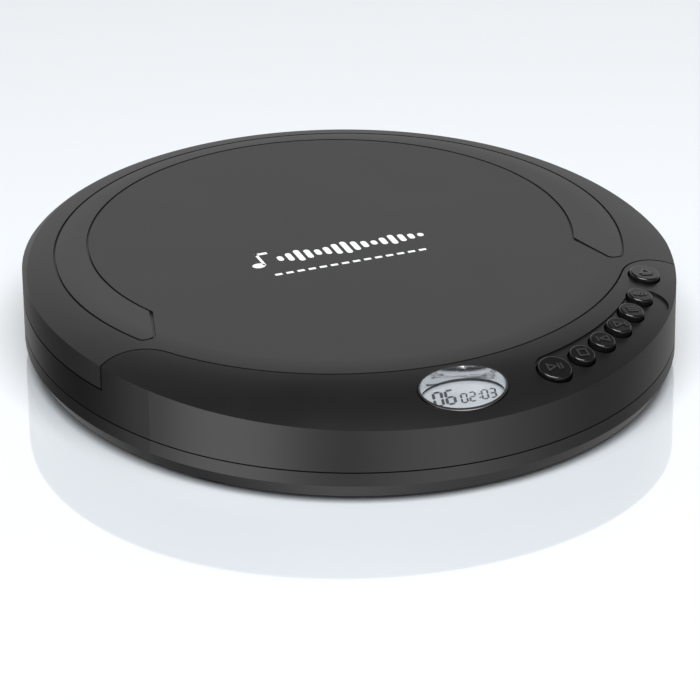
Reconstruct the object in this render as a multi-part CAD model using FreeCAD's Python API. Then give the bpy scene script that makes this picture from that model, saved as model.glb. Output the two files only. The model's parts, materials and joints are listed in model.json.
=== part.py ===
"""Portable CD player with a hinged lid, seven keys, a display and a full mechanism.

Millimetres. +Z is up and the front, with the display, faces -Y. The origin is on the
table under the middle of the oval case, and the lid turns about a line at the back.
"""

import math
import os

import FreeCAD
import Part

V = FreeCAD.Vector
Z_AXIS = V(0, 0, 1)

# ---- case outline: an oval of four tangent arcs ----
CASE_WIDTH = 144.0
CASE_DEPTH = 154.0
SIDE_RADIUS = 84.0
CASE_WALL = 1.8
LID_WALL = 1.6

# ---- heights above the table ----
FOOT_HEIGHT = 1.2
SEAM_Z = 7.5
SEAM_GAP = 0.3
SHOULDER_Z = 14.2
SKIRT_GAP = 0.4
DECK_Z = 17.2
DECK_THICKNESS = 1.0
TOP_Z = 22.3
LID_THICKNESS = 0.95
LEDGE_DROP = 1.9
BOTTOM_THICKNESS = 1.6

# ---- domed top: flat in the middle, then a long arc that falls towards the rim ----
LID_CENTRE_Y = 5.8
LID_RADIUS = 64.4
FLAT_RADIUS = 59.0
SHOULDER_RADIUS = 58.0
LOBE_X = 61.5
LOBE_Y = -36.0
LID_GAP = 0.4

# ---- rear rim of the lid: a round edge that fades out towards the front ----
RIM_ROUND = 6.5
RIM_OUTSET = 2.0
RIM_SHIFT = 2.6
RIM_SHIFT_ANGLE = 75.0

# ---- trim band let into the lid ----
BAND_INNER_RADIUS = 54.8
BAND_INNER_Y = 11.0
BAND_CORNER_Y = -10.6
BAND_TIP_Y = -23.2
BAND_DEPTH = 0.6
BAND_GROOVE = 0.5
BAND_CORNER = 1.3
BAND_EDGE = 0.9
BAND_TIP_WIDTH = 2.6

# ---- disc well ----
WELL_RADIUS = 61.5
WELL_WALL = 1.7
DISC_Z = 18.6
WELL_JOIN = 0.1
WELL_SKIRT = 1.4

# ---- lid hook and latch ----
HOOK_ANGLE = -24.0
HOOK_RADIUS = 66.2
HOOK_Z = 9.9
HOOK_HALF = 2.2
HOOK_THICKNESS = 1.4
HOOK_NOSE = 0.9
SLIDER_BACK_X = 54.5
SLIDER_FRONT_X = 60.0
SLIDER_Y = -36.2
SLIDER_Z = 11.2
SLIDER_THICKNESS = 1.2
RAMP_HEIGHT = 0.9

# ---- hinge ----
HINGE_Y = 72.8
HINGE_Z = 13.4
BARREL_RADIUS = 3.9
BARREL_HALF = 23.5
HINGE_GAP = 0.8
LUG_INNER = 12.8
LUG_OUTER = 16.0
LUG_RADIUS = 2.4
LUG_SIDE_GAP = 0.3
SLOT_RADIUS = 5.4
HINGE_PIN_RADIUS = 1.0
PIN_CLEARANCE = 0.05

# ---- display ----
DISPLAY_Y = -67.1
BEZEL_HALF_X = 9.9
BEZEL_HALF_Y = 6.9
WINDOW_HALF_X = 8.6
WINDOW_HALF_Y = 5.8
BEZEL_LIP = 0.25
WINDOW_Z = 18.75
WINDOW_TILT = 5.0
WINDOW_THICKNESS = 0.8

# ---- keys, on an arc about the middle of the case ----
KEY_FIRST_ANGLE = -71.4
KEY_PITCH = 6.45
KEY_FIRST_RADIUS = 68.9
KEY_RADIUS_STEP = -0.48
PLAY_DIAMETER = 7.4
KEY_DIAMETER = 5.6
OPEN_ANGLE = -30.3
OPEN_RADIUS = 66.2
OPEN_DIAMETER = 6.7
KEY_ARC_CENTRE = V(0.3, -0.6, 0)
PLAY_EXTRA_ANGLE = 0.85
KEY_PROUD = 1.0
KEY_FLANGE = 0.5
KEY_DEPTH = 3.0
STEM_RADIUS = 1.3
KEY_GAP = 0.35
RECESS_DEPTH = 0.45
RECESS_HALF = 4.6
RECESS_OFFSET = 0.5
KEYS = ["play_key", "stop_key", "skip_back_key", "skip_forward_key", "mode_key", "program_key"]

# ---- battery bay for two AA cells side by side ----
CELL_DIAMETER = 14.5
BAY_LENGTH = 56.6
BAY_FRONT_Y = 28.7
BAY_WALL = 1.2
BAY_CEILING_Z = 16.8
DOOR_HALF = 30.3
DOOR_THICKNESS = 1.0
DOOR_GAP = 0.3
TONGUE = 1.0
TONGUE_THICKNESS = 0.5
TONGUE_GAP = 0.2
DOOR_LIP = 12.0

# ---- turntable and spindle motor ----
MOTOR_RADIUS = 12.0
MOTOR_BASE_Z = 5.7
PLATE_Z = 11.4
PLATE_THICKNESS = 1.2
SHAFT_RADIUS = 0.75
RUNNING = 0.03
PLATTER_RADIUS = 10.0
HUB_RADIUS = 7.35
HUB_TOP_Z = 20.5
MAT_THICKNESS = 0.3
BALL_RADIUS = 1.0

# ---- pickup sled, its rods and its gear train ----
LENS_REST_X = -24.0
SLED_TRAVEL = 33.0
ROD_RADIUS = 1.0
ROD_Z = 9.3
ROD_HALF_SPAN = 15.0
SLED_OUTER = 4.1
SLED_INNER = 9.0
RACK_MODULE = 0.5
RACK_PINION_TEETH = 12
DRIVE_MODULE = 0.4
IDLER_TEETH = 40
MOTOR_TEETH = 10
GEAR_BACKLASH = 0.12
RACK_PITCH_Y = -12.5
DRIVE_ANGLE = 216.87
IDLER_X = -30.0
RACK_Z = 7.9
GEAR_WIDTH = 2.0
LENS_RADIUS = 2.0
HOLDER_RADIUS = 2.9
TOWER_HALF = 5.0
TOWER_TOP_Z = 15.7

# ---- boards and side controls ----
BOARD_Z = 3.6
BOARD_THICKNESS = 1.2
KEY_BOARD_Z = 9.2
KEY_BOARD_THICKNESS = 1.0
JACK_Y = -13.0
JACK_Z = 10.4
JACK_BORE = 1.8
JACK_NOSE = 2.4
HOLD_Y = -1.0
HOLD_TRAVEL = 3.0
POWER_Y = 10.0
POWER_PIN_RADIUS = 0.65
WHEEL_Y = 27.0
WHEEL_RADIUS = 8.0
WHEEL_PROUD = 0.8
WHEEL_Z = 9.7
WHEEL_THICKNESS = 2.6

# ---- fasteners and feet ----
FRONT_SCREW = (30.0, -44.0)
REAR_SCREW = (44.0, 44.0)
SCREW_RADIUS = 1.1
SCREW_HEAD_RADIUS = 2.1
BOSS_RADIUS = 3.0
FRONT_FOOT = (47.0, -44.0)
REAR_FOOT = (53.0, 31.0)
FOOT_RADIUS = 4.5
DAMPERS = [(13.0, -22.0), (-50.0, -20.5), (13.0, 21.0)]
VENT_Y = -30.0
VENT_PITCH = 4.0
VENT_HALF = 14.0
VENT_WIDTH = 1.4
GRIP_HALF = 9.0
GRIP_PITCH = 3.0

# ---- values that follow ----
SIDE_CENTRE = SIDE_RADIUS - CASE_WIDTH / 2
END_GAP = SIDE_RADIUS - CASE_DEPTH / 2
END_CENTRE = (SIDE_CENTRE**2 - END_GAP**2) / (2 * END_GAP)
END_RADIUS = CASE_DEPTH / 2 - END_CENTRE
TANGENT_ANGLE = math.degrees(math.atan2(END_CENTRE, SIDE_CENTRE))
LID_CENTRE = V(0, LID_CENTRE_Y, 0)
LOBE_DISTANCE = math.hypot(LOBE_X, LOBE_Y - LID_CENTRE_Y)
LOBE_RADIUS = LOBE_DISTANCE - LID_RADIUS
LEDGE_Z = TOP_Z - LEDGE_DROP
CASE_BASE_Z = FOOT_HEIGHT
UNDER_DECK_Z = DECK_Z - DECK_THICKNESS
DRUM_RADIUS = WELL_RADIUS + WELL_WALL
SKIRT_Z = SHOULDER_Z + SKIRT_GAP
BAY_BACK_Y = BAY_FRONT_Y + 2 * CELL_DIAMETER + 0.6
ROD_FRONT_Y = LID_CENTRE_Y - ROD_HALF_SPAN
ROD_BACK_Y = LID_CENTRE_Y + ROD_HALF_SPAN
HIGH = 60.0


def box(x0, y0, z0, x1, y1, z1):
    return Part.makeBox(x1 - x0, y1 - y0, z1 - z0, V(x0, y0, z0))


def cylinder(x, y, z0, z1, radius):
    return Part.makeCylinder(radius, z1 - z0, V(x, y, z0))


def rod(start, end, radius):
    return Part.makeCylinder(radius, (end - start).Length, start, end - start)


def polar(radius, degrees, centre=V(0, 0, 0)):
    angle = math.radians(degrees)
    return centre + V(radius * math.cos(angle), radius * math.sin(angle), 0)


def arc(centre, radius, start, end):
    middle = polar(radius, (start + end) / 2, centre)
    return Part.Arc(polar(radius, start, centre), middle, polar(radius, end, centre)).toShape()


def prism(edges, z0, z1):
    face = Part.Face(Part.Wire(edges))
    face.translate(V(0, 0, z0))
    return face.extrude(V(0, 0, z1 - z0))


def polygon(points, z0, z1):
    corners = [V(x, y, 0) for x, y in points]
    edges = [Part.makeLine(a, b) for a, b in zip(corners, corners[1:] + corners[:1])]
    return prism(edges, z0, z1)


def joined(shapes):
    shapes = list(shapes)
    return shapes[0].fuse(shapes[1:]).removeSplitter() if len(shapes) > 1 else shapes[0]


def group(shapes):
    return Part.makeCompound(list(shapes))


def mirrored(points):
    return [(x * side, y) for x, y in points for side in (-1, 1)]


# ---- shared surfaces ----


def oval_edges(inset):
    side = SIDE_RADIUS - inset
    end = END_RADIUS - inset
    angle = TANGENT_ANGLE
    return [
        arc(V(-SIDE_CENTRE, 0, 0), side, -angle, angle),
        arc(V(0, END_CENTRE, 0), end, angle, 180 - angle),
        arc(V(SIDE_CENTRE, 0, 0), side, 180 - angle, 180 + angle),
        arc(V(0, -END_CENTRE, 0), end, 180 + angle, 360 - angle),
    ]


def oval(inset, z0, z1):
    return prism(oval_edges(inset), z0, z1)


def wall_x(y, inset=0.0):
    """How far out the side wall stands at a given y."""
    return math.sqrt((SIDE_RADIUS - inset) ** 2 - y * y) - SIDE_CENTRE


def under_top(drop, z0=0.0):
    """Everything below the domed top, or below the same dome lowered along its normals."""
    radius = SHOULDER_RADIUS - drop
    centre = V(FLAT_RADIUS, 0, TOP_Z - SHOULDER_RADIUS)
    reach = math.radians(36)
    start = V(FLAT_RADIUS, 0, TOP_Z - drop)
    middle = centre + V(radius * math.sin(reach / 2), 0, radius * math.cos(reach / 2))
    end = centre + V(radius * math.sin(reach), 0, radius * math.cos(reach))
    edges = [
        Part.makeLine(V(0, 0, z0), V(0, 0, TOP_Z - drop)),
        Part.makeLine(V(0, 0, TOP_Z - drop), start),
        Part.Arc(start, middle, end).toShape(),
        Part.makeLine(end, V(end.x, 0, z0)),
        Part.makeLine(V(end.x, 0, z0), V(0, 0, z0)),
    ]
    solid = Part.Face(Part.Wire(edges)).revolve(V(0, 0, 0), Z_AXIS, 360)
    solid.translate(LID_CENTRE)
    return solid


def top_point(x, y):
    """The point and outward normal of the domed top above x, y."""
    out = V(x, y, 0) - LID_CENTRE
    reach = max(out.Length - FLAT_RADIUS, 0)
    slope = math.asin(reach / SHOULDER_RADIUS)
    height = TOP_Z - SHOULDER_RADIUS * (1 - math.cos(slope))
    out.normalize()
    return V(x, y, height), V(out.x * math.sin(slope), out.y * math.sin(slope), math.cos(slope))


def front_area(grow, z0, z1):
    """The front crescent that stays with the case, with a round lobe at each end."""
    lid = LID_RADIUS - grow
    lobe = LOBE_RADIUS + grow
    tangent = math.degrees(math.atan2(LID_CENTRE_Y - LOBE_Y, LOBE_X))
    far = CASE_WIDTH
    right = V(LOBE_X + lobe, LOBE_Y, 0)
    left = V(-LOBE_X - lobe, LOBE_Y, 0)
    corners = [right, V(far, LOBE_Y, 0), V(far, -far, 0), V(-far, -far, 0), V(-far, LOBE_Y, 0), left]
    edges = [arc(LID_CENTRE, lid, tangent - 180, -tangent)]
    edges.append(arc(V(LOBE_X, LOBE_Y, 0), lobe, 180 - tangent, 0))
    edges += [Part.makeLine(a, b) for a, b in zip(corners, corners[1:])]
    edges.append(arc(V(-LOBE_X, LOBE_Y, 0), lobe, 180, tangent))
    return prism(edges, z0, z1)


# ---- casings ----


def bay_area(grow, z0, z1):
    half = BAY_LENGTH / 2 + grow
    return box(-half, BAY_FRONT_Y - grow, z0, half, BAY_BACK_Y + grow, z1)


def screw_points():
    return mirrored([FRONT_SCREW, REAR_SCREW])


def foot_points():
    return mirrored([FRONT_FOOT, REAR_FOOT])


def door_area(grow, z0, z1):
    half = DOOR_HALF + grow
    return box(-half, BAY_FRONT_Y - BAY_WALL - grow, z0, half, CASE_DEPTH, z1)


def tongue_area(grow, back):
    half = DOOR_HALF + TONGUE + grow
    z0 = CASE_BASE_Z + 0.45 - grow
    return box(-half, BAY_FRONT_Y - grow, z0, half, back, z0 + TONGUE_THICKNESS + 2 * grow)


def bottom_outside():
    chamfer_top = CASE_BASE_Z + 3.3
    low = Part.Wire(oval_edges(2.0))
    low.translate(V(0, 0, CASE_BASE_Z))
    high = Part.Wire(oval_edges(0.0))
    high.translate(V(0, 0, chamfer_top))
    return joined([Part.makeLoft([low, high], True), oval(0, chamfer_top, SEAM_Z)])


def bottom_case():
    inside_z = CASE_BASE_Z + BOTTOM_THICKNESS
    case = bottom_outside()
    case = case.cut(oval(CASE_WALL + 1.2, inside_z, HIGH))
    tub = bay_area(BAY_WALL, CASE_BASE_Z, UNDER_DECK_Z - 0.3)
    posts = [cylinder(x, y, inside_z - 0.2, KEY_BOARD_Z - 2, BOSS_RADIUS) for x, y in screw_points()]
    rests = [cylinder(x, y, inside_z - 0.2, BOARD_Z, 2.0) for x, y in board_rests()]
    case = joined([case, tub] + posts + rests)
    cuts = [bay_area(0, 0, HIGH), door_area(DOOR_GAP, 0, CASE_BASE_Z + DOOR_THICKNESS + 0.2)]
    opening = DOOR_HALF + DOOR_GAP
    cuts.append(box(-opening, BAY_BACK_Y + DOOR_LIP, 0, opening, CASE_DEPTH, HIGH))
    cuts.append(tongue_area(TONGUE_GAP, CASE_DEPTH))
    for x, y in screw_points():
        cuts.append(cylinder(x, y, 0, HIGH, SCREW_RADIUS + 0.2))
        cuts.append(cylinder(x, y, 0, CASE_BASE_Z + 2.2, SCREW_HEAD_RADIUS + 0.3))
    cuts += [cylinder(x, y, 0, CASE_BASE_Z + 0.6, FOOT_RADIUS + 0.15) for x, y in foot_points()]
    cuts += vent_slots()
    return case.cut(cuts)


def vent_slots():
    top = CASE_BASE_Z + BOTTOM_THICKNESS + 1
    starts = [VENT_Y + VENT_PITCH * row for row in range(5)]
    return [box(-VENT_HALF, y, 0, VENT_HALF, y + VENT_WIDTH, top) for y in starts]


def battery_door():
    plate = door_area(0, CASE_BASE_Z, CASE_BASE_Z + DOOR_THICKNESS)
    lip_y = BAY_BACK_Y + DOOR_LIP + DOOR_GAP
    lip = box(-DOOR_HALF, lip_y, CASE_BASE_Z, DOOR_HALF, CASE_DEPTH, SEAM_Z)
    door = joined([plate, lip]).common(bottom_outside())
    hollow = oval(CASE_WALL + 1.2, CASE_BASE_Z + DOOR_THICKNESS, HIGH)
    door = door.cut(hollow)
    starts = [BAY_BACK_Y - 4 + GRIP_PITCH * row for row in range(4)]
    grip = [box(-GRIP_HALF, y, 0, GRIP_HALF, y + 1, CASE_BASE_Z + 0.4) for y in starts]
    return joined([door, tongue_area(0, BAY_BACK_Y + 6)]).cut(grip)


def hinge_slots():
    shapes = []
    for side in (-1, 1):
        start = V(side * (LUG_INNER - LUG_SIDE_GAP), HINGE_Y, HINGE_Z)
        end = V(side * (LUG_OUTER + LUG_SIDE_GAP), HINGE_Y, HINGE_Z)
        shapes.append(rod(start, end, SLOT_RADIUS))
    return shapes


def hinge_line(half, radius):
    return rod(V(-half, HINGE_Y, HINGE_Z), V(half, HINGE_Y, HINGE_Z), radius)


def pin_lines(radius, grow):
    shapes = []
    for side in (-1, 1):
        start = V(side * (LUG_INNER - 3 - grow), HINGE_Y, HINGE_Z)
        end = V(side * (LUG_OUTER + 3 + grow), HINGE_Y, HINGE_Z)
        shapes.append(rod(start, end, radius))
    return shapes


def upper_case():
    low = SEAM_Z + SEAM_GAP
    body = oval(0, low, SHOULDER_Z)
    front = oval(0, low, HIGH).common(under_top(0)).common(front_area(-LID_GAP / 2, low, HIGH))
    ledge = cylinder(0, LID_CENTRE_Y, low, LEDGE_Z, LID_RADIUS + LID_GAP)
    ledge = ledge.common(front_area(3.0, low, HIGH)).common(oval(0, low, HIGH))
    barrel = hinge_line(BARREL_HALF, BARREL_RADIUS).common(oval(0, 0, HIGH))
    case = joined([body, front, ledge, barrel]).cut(upper_hollow())
    case = joined([case, hinge_block()])
    return case.cut(upper_cuts())


def upper_hollow():
    low = oval(CASE_WALL, 0, SHOULDER_Z - WELL_SKIRT)
    front = front_area(-LID_GAP / 2 - LID_WALL, 0, HIGH)
    front = oval(CASE_WALL, 0, HIGH).common(under_top(LID_WALL)).common(front)
    return joined([low, front])


def well_deck():
    """The round tray the disc lies in: a deck, its wall and the bosses under it."""
    wall = cylinder(0, LID_CENTRE_Y, SHOULDER_Z - WELL_SKIRT, LEDGE_Z, DRUM_RADIUS)
    under = cylinder(0, LID_CENTRE_Y, 0, UNDER_DECK_Z, WELL_RADIUS)
    over = cylinder(0, LID_CENTRE_Y, DECK_Z, HIGH, WELL_RADIUS)
    tray = joined([wall.cut([under, over])] + deck_bosses())
    return tray.cut(deck_cuts())


def hinge_block():
    front = HINGE_Y - BARREL_RADIUS
    block = box(-BARREL_HALF, front, SEAM_Z + SEAM_GAP, BARREL_HALF, CASE_DEPTH, SHOULDER_Z)
    return block.common(oval(0, 0, HIGH))


def deck_bosses():
    shapes = [cylinder(x, y, KEY_BOARD_Z - 1.9, UNDER_DECK_Z + 0.2, BOSS_RADIUS) for x, y in screw_points()]
    shapes += [cylinder(x, y, PLATE_Z - 0.6, UNDER_DECK_Z + 0.2, 1.6) for x, y in DAMPERS]
    return shapes


def deck_cuts():
    cuts = hinge_slots()
    cuts.append(cylinder(0, LID_CENTRE_Y, 0, HIGH, PLATTER_RADIUS + 1.5))
    slot_x = LENS_REST_X - SLED_TRAVEL - HOLDER_RADIUS - 0.5
    cuts.append(box(slot_x, LID_CENTRE_Y - 5.5, 0, 0, LID_CENTRE_Y + 5.5, HIGH))
    cuts.append(bay_area(-0.3, UNDER_DECK_Z - 0.1, BAY_CEILING_Z))
    cuts += [cylinder(x, y, 0, UNDER_DECK_Z - 1, SCREW_RADIUS - 0.15) for x, y in screw_points()]
    cuts += [cylinder(x, y, 0, UNDER_DECK_Z - 0.6, 0.65) for x, y in DAMPERS]
    return cuts


def upper_cuts():
    cuts = hinge_slots() + pin_lines(HINGE_PIN_RADIUS, 0)
    cuts.append(cylinder(0, LID_CENTRE_Y, 0, HIGH, DRUM_RADIUS + WELL_JOIN))
    cuts.append(display_oval(BEZEL_HALF_X + 0.2, BEZEL_HALF_Y + 0.2, 0, HIGH))
    cuts += [key_cylinder(key, key["radius"] + KEY_GAP, -6, 6) for key in keys()]
    cuts.append(key_recess())
    cuts += side_openings()
    cuts.append(hook_slot())
    return cuts


def key_recess():
    """A shallow curved tray round the six small keys."""
    middle = KEY_FIRST_RADIUS - RECESS_OFFSET
    inner = middle - RECESS_HALF
    outer = middle + RECESS_HALF
    start = KEY_FIRST_ANGLE
    end = KEY_FIRST_ANGLE + 5 * KEY_PITCH
    band = [arc(V(0, 0, 0), outer, start, end), Part.makeLine(polar(outer, end), polar(inner, end))]
    band += [arc(V(0, 0, 0), inner, end, start), Part.makeLine(polar(inner, start), polar(outer, start))]
    ends = [polar(middle, angle) for angle in (start, end)]
    area = joined([prism(band, 0, HIGH)] + [cylinder(at.x, at.y, 0, HIGH, RECESS_HALF) for at in ends])
    area.translate(KEY_ARC_CENTRE)
    return area.cut(under_top(RECESS_DEPTH))


def side_openings():
    jack = rod(V(wall_x(JACK_Y) - 6, JACK_Y, JACK_Z), V(CASE_WIDTH, JACK_Y, JACK_Z), JACK_NOSE + 0.15)
    power = rod(V(wall_x(POWER_Y) - 6, POWER_Y, JACK_Z), V(CASE_WIDTH, POWER_Y, JACK_Z), JACK_NOSE + 0.15)
    hold = hold_box(HOLD_TRAVEL / 2 + 0.4, 1.0, 0.25)
    wheel = cylinder(wheel_x(), WHEEL_Y, WHEEL_Z - 0.4, WHEEL_Z + WHEEL_THICKNESS + 0.4, WHEEL_RADIUS + 0.5)
    return [jack, power, hold, wheel]


def rim_round(drop):
    """A rounded pillow, set forward, that takes the sharp edge off the rear of the lid."""
    top = TOP_Z - drop
    block = oval(drop - RIM_OUTSET, 0, top)
    edges = [edge for edge in block.Edges if abs(edge.CenterOfMass.z - top) < 0.01]
    block = block.makeFillet(RIM_ROUND - drop, edges)
    block.translate(polar(-RIM_SHIFT, RIM_SHIFT_ANGLE))
    return block


def lid_outside():
    shape = oval(0, SKIRT_Z, HIGH).common(under_top(0)).common(rim_round(0))
    return shape.cut(front_area(LID_GAP / 2, 0, HIGH))


def lid_shell():
    hollow = oval(LID_WALL, 0, HIGH).common(under_top(LID_THICKNESS)).common(rim_round(LID_THICKNESS))
    hollow = hollow.cut(front_area(LID_GAP / 2 + LID_WALL, 0, HIGH))
    over_drum = cylinder(0, LID_CENTRE_Y, 0, LEDGE_Z + 0.3, LID_RADIUS + 0.6)
    over_barrel = BARREL_HALF + HINGE_GAP
    back_z = HINGE_Z + BARREL_RADIUS + 0.3
    back = box(-over_barrel, HINGE_Y - 6, 0, over_barrel, CASE_DEPTH, back_z)
    shell = lid_outside().cut([hollow, over_drum, back])
    groove = band_area(BAND_GROOVE, TOP_Z - 8).cut(under_top(BAND_DEPTH + 0.02))
    return joined([shell] + lid_lugs()).cut(groove)


def lid_lugs():
    shapes = []
    for side in (-1, 1):
        x0, x1 = sorted((side * LUG_INNER, side * LUG_OUTER))
        boss = rod(V(x0, HINGE_Y, HINGE_Z), V(x1, HINGE_Y, HINGE_Z), LUG_RADIUS)
        arm = box(x0, HINGE_Y - LUG_RADIUS + 0.2, HINGE_Z, x1, HINGE_Y + LUG_RADIUS - 0.4, HIGH)
        arm = arm.common(under_top(0.3)).common(oval(0.3, 0, HIGH)).common(rim_round(0.3))
        lug = joined([boss.common(oval(0.3, 0, HIGH)), arm])
        bore_radius = HINGE_PIN_RADIUS + PIN_CLEARANCE
        bore = rod(V(x0 - 1, HINGE_Y, HINGE_Z), V(x1 + 1, HINGE_Y, HINGE_Z), bore_radius)
        shapes.append(lug.cut(bore))
    return shapes


def band_area(grow, z0):
    """The C-shaped band: two arcs that meet the slanted end lines at each side."""
    outer = LID_RADIUS - LID_GAP / 2 - BAND_EDGE + grow
    inner = BAND_INNER_RADIUS - grow
    corner_x = math.sqrt(inner**2 - (BAND_CORNER_Y - grow - BAND_INNER_Y) ** 2)
    tip_y = BAND_TIP_Y - grow
    tip_x = math.sqrt(outer**2 - (tip_y - LID_CENTRE_Y) ** 2)
    inner_tip = tip_x - BAND_TIP_WIDTH - 1.5 * grow
    tip = math.degrees(math.atan2(tip_y - LID_CENTRE_Y, tip_x))
    corner = math.degrees(math.atan2(BAND_CORNER_Y - grow - BAND_INNER_Y, corner_x))
    inner_centre = V(0, BAND_INNER_Y, 0)
    points = [polar(outer, tip, LID_CENTRE), V(inner_tip, tip_y, 0), polar(inner, corner, inner_centre)]
    edges = [arc(LID_CENTRE, outer, 180 - tip, tip)]
    edges += [Part.makeLine(points[0], points[1]), Part.makeLine(points[1], points[2])]
    edges.append(arc(inner_centre, inner, corner, 180 - corner))
    left = [V(-point.x, point.y, 0) for point in reversed(points)]
    edges += [Part.makeLine(left[0], left[1]), Part.makeLine(left[1], left[2])]
    band = prism(edges, z0, HIGH)
    upright = [edge for edge in band.Edges if abs(edge.CenterOfMass.z - (z0 + HIGH) / 2) < 0.01]
    return band.makeFillet(BAND_CORNER, upright)


def lid_trim_band():
    return band_area(0, TOP_Z - 8).common(under_top(0)).cut(under_top(BAND_DEPTH))


def hook_place():
    return polar(HOOK_RADIUS, HOOK_ANGLE, LID_CENTRE)


def lid_hook():
    at = hook_place()
    half = HOOK_THICKNESS / 2
    tab = box(at.x - HOOK_HALF, at.y - half, HOOK_Z, at.x + HOOK_HALF, at.y + half, HIGH)
    nose_z = HOOK_Z + HOOK_NOSE
    nose = box(at.x - HOOK_HALF, at.y - HOOK_THICKNESS, HOOK_Z, at.x + HOOK_HALF, at.y, nose_z)
    return joined([tab.common(under_top(LID_THICKNESS)), nose])


def hook_slot():
    at = hook_place()
    half = HOOK_HALF + 0.5
    front = HOOK_THICKNESS + 0.5
    return box(at.x - half, at.y - front, HOOK_Z - 0.9, at.x + half, at.y + HOOK_THICKNESS, SHOULDER_Z + 1)


def hinge_pins():
    return group(pin_lines(HINGE_PIN_RADIUS, -0.2))


def feet():
    shapes = []
    for x, y in foot_points():
        foot = cylinder(x, y, 0, CASE_BASE_Z + 0.6, FOOT_RADIUS)
        rim = [edge for edge in foot.Edges if edge.CenterOfMass.z < 0.01]
        shapes.append(foot.makeFillet(0.5, rim))
    return group(shapes)


def case_screws():
    shapes = []
    for x, y in screw_points():
        head = cylinder(x, y, CASE_BASE_Z + 0.9, CASE_BASE_Z + 2.2, SCREW_HEAD_RADIUS)
        head = head.cut(cross_slot(x, y, CASE_BASE_Z + 0.9, 0.7))
        shank = cylinder(x, y, CASE_BASE_Z + 2.2, UNDER_DECK_Z - 3, SCREW_RADIUS - 0.15)
        shapes.append(joined([head, shank]))
    return group(shapes)


def cross_slot(x, y, z, depth):
    half = 0.25
    long = 1.2
    across = box(x - long, y - half, z, x + long, y + half, z + depth)
    return joined([across, box(x - half, y - long, z, x + half, y + long, z + depth)])


# ---- display ----


def ellipse_wire(half_x, half_y, z):
    curve = Part.Ellipse(V(0, DISPLAY_Y, z), half_x, half_y)
    return Part.Wire([curve.toShape()])


def display_oval(half_x, half_y, z0, z1):
    return Part.Face(ellipse_wire(half_x, half_y, z0)).extrude(V(0, 0, z1 - z0))


def tilted(shape):
    shape.rotate(V(0, DISPLAY_Y, WINDOW_Z), V(1, 0, 0), WINDOW_TILT)
    return shape


def lcd_bezel():
    tube = display_oval(BEZEL_HALF_X, BEZEL_HALF_Y, WINDOW_Z - 4, HIGH).common(under_top(-BEZEL_LIP))
    low = ellipse_wire(WINDOW_HALF_X, WINDOW_HALF_Y, WINDOW_Z - 6)
    high = ellipse_wire(BEZEL_HALF_X - 0.15, BEZEL_HALF_Y - 0.15, TOP_Z + 1)
    tube = tube.cut(Part.makeLoft([low, high], True))
    below = tilted(box(-20, DISPLAY_Y - 20, WINDOW_Z - 20, 20, DISPLAY_Y + 20, WINDOW_Z))
    return tube.cut(below)


def lcd_window():
    low = WINDOW_Z - WINDOW_THICKNESS
    return tilted(display_oval(BEZEL_HALF_X - 0.1, BEZEL_HALF_Y - 0.1, low, WINDOW_Z))


def lcd_module():
    top = WINDOW_Z - WINDOW_THICKNESS - 0.1
    glass = display_oval(BEZEL_HALF_X - 0.1, BEZEL_HALF_Y - 0.1, top - 1.0, top)
    back = box(-9.6, DISPLAY_Y - 4.4, top - 2.2, 9.6, DISPLAY_Y + 6.6, top - 1.0)
    return tilted(joined([glass, back]))


# ---- keys ----


def keys():
    places = []
    for index, name in enumerate(KEYS):
        angle = KEY_FIRST_ANGLE + KEY_PITCH * index - (PLAY_EXTRA_ANGLE if index == 0 else 0)
        radius = KEY_FIRST_RADIUS + KEY_RADIUS_STEP * index
        size = PLAY_DIAMETER if index == 0 else KEY_DIAMETER
        places.append({"name": name, "at": polar(radius, angle, KEY_ARC_CENTRE), "radius": size / 2})
    places.append({"name": "open_key", "at": polar(OPEN_RADIUS, OPEN_ANGLE), "radius": OPEN_DIAMETER / 2})
    return places


def key_cylinder(key, radius, low, high):
    point, normal = top_point(key["at"].x, key["at"].y)
    return rod(point + normal * low, point + normal * high, radius)


def key_stem_end(key):
    return KEY_BOARD_Z + KEY_BOARD_THICKNESS + 3.1 if key["name"] != "open_key" else 14.0


def key(place):
    cap = key_cylinder(place, place["radius"], -KEY_DEPTH, KEY_PROUD)
    cap = cap.makeFillet(0.45, [edge for edge in cap.Edges if is_top_rim(edge, place)])
    flange = key_cylinder(place, place["radius"] + KEY_FLANGE, -KEY_DEPTH - 0.2, -KEY_DEPTH + 0.5)
    inside = -LID_GAP / 2 - LID_WALL - 0.4
    flange = flange.common(oval(CASE_WALL + 0.4, 0, HIGH)).common(front_area(inside, 0, HIGH))
    stem = key_cylinder(place, STEM_RADIUS, -12, -KEY_DEPTH)
    end = key_stem_end(place)
    stem = stem.common(box(-CASE_WIDTH, -CASE_WIDTH, end, CASE_WIDTH, CASE_WIDTH, HIGH))
    return joined([cap, flange, stem])


def is_top_rim(edge, place):
    point, normal = top_point(place["at"].x, place["at"].y)
    return abs((edge.CenterOfMass - point).dot(normal) - KEY_PROUD) < 0.05


def tact_switches():
    shapes = []
    for place in keys()[:-1]:
        point, normal = top_point(place["at"].x, place["at"].y)
        drop = (point.z - KEY_BOARD_Z - 3) / normal.z
        at = point - normal * drop
        top = KEY_BOARD_Z + KEY_BOARD_THICKNESS
        body = box(at.x - 2.1, at.y - 2.1, top, at.x + 2.1, at.y + 2.1, top + 1.6)
        shapes.append(joined([body, cylinder(at.x, at.y, top + 1.6, top + 2.3, 1.0)]))
    return group(shapes)


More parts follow.
